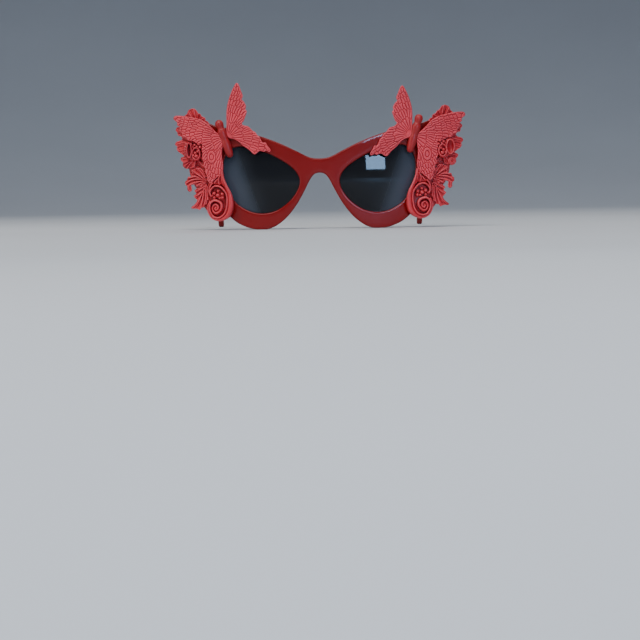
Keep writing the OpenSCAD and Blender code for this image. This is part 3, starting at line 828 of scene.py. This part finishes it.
LEAF_MIDDLE = [(74, 31.6), (74.8, 36), (76.8, 39.8), (79.6, 40.8), (82, 39.9), (83.6, 39.4), (83.2, 37),
    (84, 35.2), (86, 35), (86.9, 33), (88, 32), (88, 30), (86.8, 28.8), (86.6, 26.4), (85.2, 25.2),
    (83.8, 26.2), (83.8, 28), (84.2, 29.4), (82.8, 30), (81.2, 29.6), (80.4, 28.6), (79, 29.2),
    (77.8, 28.4), (76.4, 29.6)]
MIDDLE_RIBS = [[(74.6, 32.6), (79, 33.4), (83.6, 33), (87.4, 31)], [(75, 33), (79, 36), (83, 38.8)],
    [(75, 34), (77, 37.4), (79.4, 40.4)], [(77, 33), (81, 35), (85.6, 34.4)], [(76, 32), (81, 31.4),
    (85.4, 29.6), (85.4, 26)], [(75, 31.6), (78, 30.6), (80.2, 29)]]
LEAF_OUTER = [(84, 62), (87.6, 66.2), (92, 67.8), (93.9, 65.8), (92.8, 64), (92.4, 62.2), (90.4, 61.4),
    (89.6, 60), (91, 58.8), (93.6, 58), (94.4, 56.2), (93.2, 54.8), (93.4, 53), (92, 51.2),
    (90.4, 50.2), (88.6, 48.6), (90.6, 47.6), (90.8, 46), (89, 44), (88.2, 42.2), (86.4, 41.6),
    (85, 40.6), (83, 41), (81.4, 42), (80.8, 48), (81.6, 56)]
OUTER_RIBS = [[(82, 58), (87, 62), (92.6, 66)], [(82, 56), (88, 57.4), (93.6, 56.4)], [(82, 54),
    (88, 53), (92.6, 52)], [(82, 50), (86, 47.6), (90, 46.6)], [(81.6, 47), (84, 44), (87.4, 42.4)],
    [(82, 57), (86.6, 60), (91.6, 62)]]
CREST = [(71.6, 68.6), (72.4, 70.8), (73.6, 71.2), (74, 73), (76.2, 74.2), (77, 75.6), (78.6, 76.4),
    (79.4, 77.8), (80.4, 78.8), (82, 79.4), (84, 79), (85.4, 77.8), (86, 76), (87.4, 75), (87.4, 72.6),
    (86, 70.4), (82, 69.8), (78.4, 70)]
CREST_RIBS = [[(80, 68), (80.2, 72), (81.4, 78.6)], [(80, 68), (82.8, 73), (85, 77.4)], [(80, 68),
    (77.4, 71.4), (75, 73)], [(81, 68), (84.4, 71.6), (87, 73.4)]]


def rib_gaps(p, paths):
    """Each point's distances to the ribs, the nearest first."""
    return np.sort(np.stack([nearest(p, path)[0] for path in paths]), 0)


def leaf(name, side, outline, ribs, reach_out, seed, node, material):
    """A ruffled leaf: raised ribs, grooves between the lobes, and margins that curl forward."""
    paths = [spline(r, 6, closed=False) for r in ribs]
    base = np.mean([r[0] for r in ribs], 0)
    far = max(np.hypot(*(np.array(q) - base)) for q in outline)

    def surface(p, d):
        gaps = rib_gaps(p, paths)
        on_rib = np.exp(-(gaps[0] / 0.42) ** 2)
        between = np.exp(-((gaps[1] - gaps[0]) / 0.75) ** 2)
        out = np.hypot(*(p - base).T) / far
        fine = 0.16 * np.sin(gaps[0] * 7.5)
        rise = BASE + 1.1 + reach_out * ease(out) + 0.3 * bump(p, seed, 6, 1)
        top = rise + 0.55 * on_rib - 0.6 * between + fine + 0.5 * np.exp(-(d / 0.55) ** 2) * (1 - on_rib)
        thick = 0.9 + 0.5 * (1 - out)
        face = face_depth(p[:, 0])
        soft = 0.45 * (1 - quarter_round(d, 0.5))
        return face - top + soft, face - np.maximum(top - thick, 0.1) - soft

    loop = spline(outline, 7)
    relief(name, side, [loop], 0.22, surface, material, painted_shading_spread=(14, 0.6), slot="scroll_resin", nodes=[node])


def leaves(material):
    """Three leaves and the crest on each side: outline, ribs, how far the tip stands out, seed and node."""
    kinds = {"leaf_low_": (LEAF_LOWER, LOWER_RIBS, 1.4, 41, "leaf_lower_"),
             "leaf_mid_": (LEAF_MIDDLE, MIDDLE_RIBS, 1.6, 43, "leaf_middle_"),
             "leaf_out_": (LEAF_OUTER, OUTER_RIBS, 1.2, 45, "leaf_outer_"),
             "leaf_crest_": (CREST, CREST_RIBS, 1.6, 47, "crest_")}
    for k, side in enumerate(SIDES):
        for name, (outline, ribs, reach_out, seed, node) in kinds.items():
            leaf(name + side, side, outline, ribs, reach_out, seed + k, node + side, material)


BASE_FRONDS = [[(70, 40), (76, 42), (80, 47)], [(70, 38), (77, 38.6), (83, 42)], [(70, 36), (74, 33),
    (76, 27), (76, 20)], [(70, 36), (76, 34.6), (82, 34)], [(70, 36), (75.4, 31), (79.4, 25)],
    [(72, 46), (77, 47), (79, 51)], [(76, 70), (80, 66), (86, 62)], [(76, 70), (81, 70), (85, 70)],
    [(68, 34), (72, 28), (73.6, 22)]]


def spray_bases(material):
    """The backing that everything in the spray grows from, ribbed like leaves where it shows."""
    loop = spline(SPRAY_BASE, 6)
    paths = [spline(q, 6, closed=False) for q in BASE_FRONDS]

    def surface(p, d):
        face = face_depth(p[:, 0])
        gaps = rib_gaps(p, paths)
        ribs = 0.9 * np.exp(-(gaps[0] / 0.5) ** 2) - 0.5 * np.exp(-((gaps[1] - gaps[0]) / 0.7) ** 2)
        fine = 0.18 * np.sin(gaps[0] * 6) * ease(gaps[0] / 1.2)
        lumps = 0.3 * bump(p, 3, 5) * ease(d / 2)
        relief_height = lumps + (ribs + fine) * ease(d / 1.5)
        return face - BASE + 0.7 * (1 - quarter_round(d, 0.9)) - relief_height, face + 0.02

    for side in SIDES:
        relief("spray_" + side, side, [loop], 0.36, surface, material, rings=[0.15, 0.45],
               slot="scroll_resin", nodes=["spray_base_" + side])


VOLUTE = [(66, 5.7), (70.8, 7.6), (73.5, 12), (73.6, 16), (72.2, 19.4), (72.9, 23), (72.6, 27),
    (71, 30.2), (68.6, 31.8), (66, 34), (64.2, 37.6), (62.9, 38), (62, 33.6), (60, 28.6), (57.6, 24),
    (56.2, 19), (56.2, 13.4), (58.2, 9.2), (61.6, 6.8)]
BAND = [(63.4, 37.4), (62.4, 33), (60.4, 28.6), (58.8, 24), (58.3, 19), (58.6, 14), (60.4, 9.8),
    (63.5, 7.2), (67.0, 6.5), (70.6, 8.0), (72.8, 11.4), (73.1, 15), (72.2, 18.2)]
LIP = [(71, 22.2), (71.8, 24.1), (71.3, 26.1), (69.4, 28.1), (67.5, 28.7), (65, 28.2), (62.6, 26.2),
    (60.9, 23.6), (60.3, 20.6), (60.4, 17.2), (61.3, 12.6), (63.3, 9.5), (66.4, 8), (69.5, 8.8),
    (71.4, 11.7), (72, 14.8), (71.3, 17.6), (69.4, 19.2), (67.3, 19.1), (65.4, 18.2), (64.2, 16.4),
    (64.4, 13.9), (65.9, 12), (67.9, 11.1), (69.6, 12.1), (70.3, 14.3), (69.3, 16.2), (67.8, 16.6),
    (66.5, 15.4), (66.6, 13.7), (67.8, 13), (68.5, 14)]
FLARES = [[(63.5, 37.4), (63.8, 33), (62.4, 29)], [(65, 35.6), (66, 32.4), (65.4, 30)], [(67.2, 33),
    (68.6, 30.6)], [(70.2, 30.6), (71.6, 28.4), (72.4, 25)]]


def volutes(material):
    """A scroll with a broad rolled band that winds inwards to a small curl, hollow behind the berries."""
    band = spline(BAND, 8, closed=False)
    lip = spline(LIP, 8, closed=False)
    flares = [spline(q, 6, closed=False) for q in FLARES]
    centre = np.array([67.8, 14.4])
    floor = BASE + 0.3

    def surface(p, d):
        near, along = nearest(p, band)
        width = np.interp(along, [0, 0.12, 0.35, 0.6, 0.8, 1], [1.2, 2.0, 2.3, 2.0, 1.6, 1.2])
        height = np.interp(along, [0, 0.12, 0.5, 1], [3.4, 4.4, 4.4, 3.8])
        roll = floor + height * np.sqrt(np.clip(1 - (near / width) ** 2, 0, None)) ** 0.8
        near, along = nearest(p, lip)
        width = np.interp(along, [0, 0.5, 0.62, 0.8, 1], [0.75, 0.85, 1.15, 1.2, 1.0])
        height = np.interp(along, [0, 0.2, 0.5, 0.66, 0.85, 1], [3.8, 4.6, 5.0, 4.2, 3.6, 4.2])
        edge = floor + height * np.sqrt(np.clip(1 - (near / width) ** 2, 0, None))
        folds = np.maximum.reduce([floor + ridge(p, q, (1.0, 0.9), (4.0, 3.2)) for q in flares])
        from_curl = np.hypot(*(p - centre).T)
        dish = floor + 3.0 * (1 - ease(from_curl / 6.4))
        dish += 1.4 * ease((from_curl - 4.4) / 2.5) * ease((17 - p[:, 1]) / 6)
        neck = floor + 2.2 * ease((p[:, 1] - 28.6) / 1.5)
        top = np.maximum.reduce([roll, edge, folds, dish, neck])
        slope = 0.6 * ease((20 - p[:, 1]) / 14)
        face = face_depth(p[:, 0])
        soft = 0.8 * (1 - quarter_round(d, 0.8))
        return face - top - slope + soft, face - 0.9 - soft * 0.5

    loop = spline(VOLUTE, 7)
    for side in SIDES:
        relief("scroll_" + side, side, [loop], 0.2, surface, material, painted_shading_spread=(16, 0.9), slot="scroll_resin",
               nodes=["volute_" + side])


def berry_bunches(material):
    """The berries in the scroll and those in the round blossom."""
    low = [(68.9, 4.6, 23.9, 1.2), (66.5, 5.0, 22.6, 1.3), (63.6, 4.6, 23.4, 1.1), (63.4, 4.2, 21.1, 1.1),
           (66.2, 4.6, 25.3, 1.0), (68.8, 4.2, 21.2, 1.0), (70.2, 3.8, 22.4, 0.8), (65.2, 4.6, 20.9, 0.9)]
    high = [(78.6, 6.4, 56.2, 0.95), (77.7, 6.0, 54.1, 0.9), (79.8, 6.2, 54.3, 0.9),
            (81.2, 6.4, 55.6, 0.85), (79.2, 5.6, 51.4, 1.0), (80.9, 5.8, 50.4, 1.05),
            (80.2, 6.2, 48.3, 1.25), (82.2, 5.8, 48.9, 0.8)]
    for side in SIDES:
        beads("berries_low_" + side, side, low, material, slot="scroll_resin",
              nodes=["volute_berries_" + side])
        beads("berries_high_" + side, side, high, material, slot="scroll_resin",
              nodes=["cup_berries_" + side])


def ring_path(cx, cz, rx, rz):
    """An upright ellipse that ends where it starts."""
    turn = np.linspace(0, 2 * math.pi, 33)
    return np.stack([cx + rx * np.cos(turn), cz + rz * np.sin(turn)], 1)


CUPS = [(77.2, 50), (77.5, 47), (79.6, 45.2), (82.4, 45.4), (84.6, 46.5), (87, 47.8), (88.5, 50.8),
    (88.7, 54.4), (87.6, 57), (85.4, 57.9), (83.2, 57), (82.2, 55), (80.6, 54.4), (78.4, 53.4)]


def cup_surface(round_cup, oval_cup, deep):
    """The two blossoms' surface, with the oval one's floor sunk by deep."""
    rims = [ring_path(*cup) for cup in (round_cup, oval_cup)]

    def surface(p, d):
        floor = BASE + 2.4
        dishes = [np.hypot((p[:, 0] - x) / rx, (p[:, 1] - z) / rz)
                  for x, z, rx, rz in (round_cup, oval_cup)]
        dish = 0.9 - deep + (1.5 + deep) * np.clip(dishes[1], 0, 1) ** 2
        hollow = floor + np.minimum(1.7 * ease(dishes[0]) ** 1.5, dish)
        round_rim = floor + ridge(p, rims[0], (0.7, 0.7), (2.8, 2.8))
        oval_rim = floor + ridge(p, rims[1], (0.55, 0.55), (3.2, 3.2))
        raised = np.maximum(round_rim, oval_rim)
        flutes = 0.22 * np.sin(np.arctan2(p[:, 1] - 51, p[:, 0] - 83) * 22) * ease((dishes[1] - 1.1) / 0.2)
        top = np.maximum(raised, hollow) + flutes * ease((dishes[0] - 1.1) / 0.2)
        face = face_depth(p[:, 0])
        soft = 0.9 * (1 - quarter_round(d, 0.9))
        return face - top + soft, face - BASE - 1.2 - soft * 0.3

    return surface


def flower_cups(materials):
    """Two blossoms side by side: one holds berries, the other is an oval dish, half closed on the left."""
    round_cup = (80.4, 49.9, 2.6, 3.8)
    oval_cup = {"left": ((85, 52.2, 1.5, 4.7), 1.8), "right": ((85.6, 52.2, 2.6, 4.7), 1.1)}
    loop = spline(CUPS, 6)
    for side in SIDES:
        relief("blossom_" + side, side, [loop], 0.2, cup_surface(round_cup, *oval_cup[side]),
               materials[side], slot="scroll_resin", nodes=["flower_cup_" + side])


def bud_surface(petal):
    """A dome with the petal's own relief on it."""

    def surface(p, d):
        dome = 1.6 * quarter_round(d, 3.2)
        face = face_depth(p[:, 0])
        soft = 0.6 * (1 - quarter_round(d, 0.7))
        return face - BASE - 1.7 - dome - petal(p) + soft, face - BASE - 1.0

    return surface


def rosebuds(materials):
    """A small bud: on the right it is rolled up, on the left its petals stand open as frills."""
    centre = np.array([86.6, 43.1])
    turns = [(0.5 + 2.3 * t, t * 4.2 * math.pi) for t in np.linspace(0, 1, 40)]
    path = np.array([centre + r * np.array([math.cos(a), math.sin(a)]) for r, a in turns])
    fan = centre + (-3.6, 3)
    frills = 17
    petals = {"left": lambda p: 0.55 * np.sin(np.arctan2(p[:, 1] - fan[1], p[:, 0] - fan[0]) * frills),
              "right": lambda p: ridge(p, path, (0.5, 0.7), (0.7, 1.1))}
    loop = ring_path(*centre, 3.1, 3.0)[:-1]
    for side in SIDES:
        relief("bud_" + side, side, [loop], 0.24, bud_surface(petals[side]), materials[side],
               slot="scroll_resin", nodes=["rosebud_" + side])


# ---- metal

def metal_parts(material):
    """Hinges, screws, rivets and core wires keep their CAD shape."""
    for name, node in frame["nodes"].items():
        if any(word in name for word in ("hinge", "rivet", "wire")):
            node.data.materials.clear()
            node.data.materials.append(material)


# ---- studio

def floor_bowl(material):
    """A pale floor that curves up into a wall all round."""
    flat, bend, top, steps = 1.6, 2.2, 5.0, 72
    curve = [(flat + bend * math.sin(a), bend * (1 - math.cos(a))) for a in np.linspace(0, math.pi / 2, 24)]
    profile = [(0.5, 0), (1.0, 0)] + curve + [(flat + bend, top)]
    verts = [(0, 0, 0)]
    for r, z in profile:
        verts += [(r * math.cos(a), r * math.sin(a), z) for a in np.arange(steps) * 2 * math.pi / steps]
    faces = [(0, 1 + k, 1 + (k + 1) % steps) for k in range(steps)]
    for i in range(len(profile) - 1):
        low, high = 1 + i * steps, 1 + (i + 1) * steps
        faces += [(low + k, high + k, high + (k + 1) % steps, low + (k + 1) % steps) for k in range(steps)]
    add("floor", smooth_mesh("floor", verts, faces, material))


def floor_paint():
    """Pale around the glasses and in front, fading to a blue grey backdrop."""
    front_y, wall_y = -1.6, 2.4
    material, nodes, links, bsdf = shader("floor_paint")
    behind = smooth_step(nodes, links, place(nodes, links)["Y"], front_y, wall_y)
    tone = ramp(nodes, links, behind,
                [(0.0, (0.62, 0.64, 0.66)), (0.16, (0.5, 0.52, 0.54)), (0.3, (0.56, 0.58, 0.6)),
                 (0.36, (0.62, 0.64, 0.66)), (0.5, (0.62, 0.64, 0.66)), (1.0, (0.45, 0.49, 0.55))])
    mottled(nodes, links, tone, 3, [(0.3, (0.97, 0.97, 0.97)), (0.7, (1.02, 1.02, 1.02))], bsdf)
    put(bsdf, {"Roughness": 0.7})
    return material


def area_light(name, at, aim, size, power, color):
    """A soft rectangular light of a width and height, turned towards a place."""
    data = bpy.data.lights.new(name, "AREA")
    data.shape = "RECTANGLE"
    data.size, data.size_y = size
    data.energy = power
    data.color = color
    obj = add(name, data)
    obj.location = at
    obj.rotation_euler = (Vector(aim) - Vector(at)).to_track_quat("-Z", "Y").to_euler()


def lights():
    """Soft light from above and both sides, a bluish window, and light on the floor and walls."""
    target = (0, FRONT_Y, 0.045)
    area_light("overhead", (-0.3, FRONT_Y - 0.9, 1.5), target, (1.6, 1.0), 30, (1.0, 0.98, 0.97))
    area_light("window", (0.7, FRONT_Y - 1.95, 0.42), target, (0.44, 0.32), 13, (0.36, 0.62, 1.0))
    area_light("side", (-1.5, FRONT_Y - 0.7, 0.5), target, (0.8, 1.2), 8, (0.95, 0.97, 1.0))
    area_light("back", (0.4, FRONT_Y + 1.6, 1.6), (0, FRONT_Y + 0.4, 0), (2.0, 1.0), 9, (0.95, 0.97, 1.0))
    area_light("room", (0, FRONT_Y - 0.9, 1.9), (0, FRONT_Y - 3.4, 0.7), (2.0, 1.0), 13, (0.93, 0.96, 1.0))
    world = bpy.data.worlds.new("studio")
    bpy.context.scene.world = world
    world.use_nodes = True
    put(world.node_tree.nodes["Background"], {"Color": (0.8, 0.85, 0.92, 1), "Strength": 0.16})


def camera():
    """Near the floor and looking slightly down, with the glasses in the upper part of the picture."""
    distance, height, roll = 1.2, 0.02, math.radians(0.85)
    across, aim_below = 0.416, 0.05935
    data = bpy.data.cameras.new("camera")
    data.sensor_width = 36
    data.lens = 36 * distance / across
    data.clip_start = 0.005
    obj = add("camera", data)
    obj.location = (0, FRONT_Y - distance, height)
    pitch = -math.atan2(height + aim_below, distance)
    obj.rotation_euler = (math.pi / 2 + pitch, roll, 0)
    bpy.context.scene.camera = obj


red = acetate()
# Each resin's tones: painted shade for the hollows, the plain colour, painted highlight for the ridges,
# then roughness
wing_resin = resin("wing_resin", (0.4, 0.012, 0.02), (0.6, 0.036, 0.05), (0.74, 0.09, 0.11), 0.5)
scroll_resin = resin("scroll_resin", (0.27, 0.006, 0.01), (0.53, 0.022, 0.03), (0.7, 0.085, 0.1), 0.36)
body_resin = resin("body_resin", (0.26, 0.008, 0.01), (0.33, 0.015, 0.017), (0.42, 0.03, 0.035), 0.34)
# A darker copy of the resin: painted shadow on the left blossom and bud under the wing
petal_resin_painted_shadow = resin("petal_resin_painted_shadow", (0.16, 0.004, 0.008), (0.4, 0.015, 0.024), (0.6, 0.06, 0.075), 0.32)
berry_resin = resin("berry_resin", (0.24, 0.008, 0.012), (0.44, 0.02, 0.028), (0.6, 0.05, 0.06), 0.24)
camera()
lights()
floor_bowl(floor_paint())
front_plate(red)
end_blocks(red)
lenses(lens_tint_and_painted_reflection())
temples(red)
nose_pads(red)
metal_parts(steel())
butterfly_wings(wing_resin)
butterfly_bodies(body_resin)
spray_bases(scroll_resin)
volutes(scroll_resin)
leaves(scroll_resin)
# On the left the blossom and bud take the darker resin as painted shadow
flower_cups({"left": petal_resin_painted_shadow, "right": scroll_resin})
rosebuds({"left": petal_resin_painted_shadow, "right": scroll_resin})
berry_bunches(berry_resin)
bpy.context.view_layer.update()
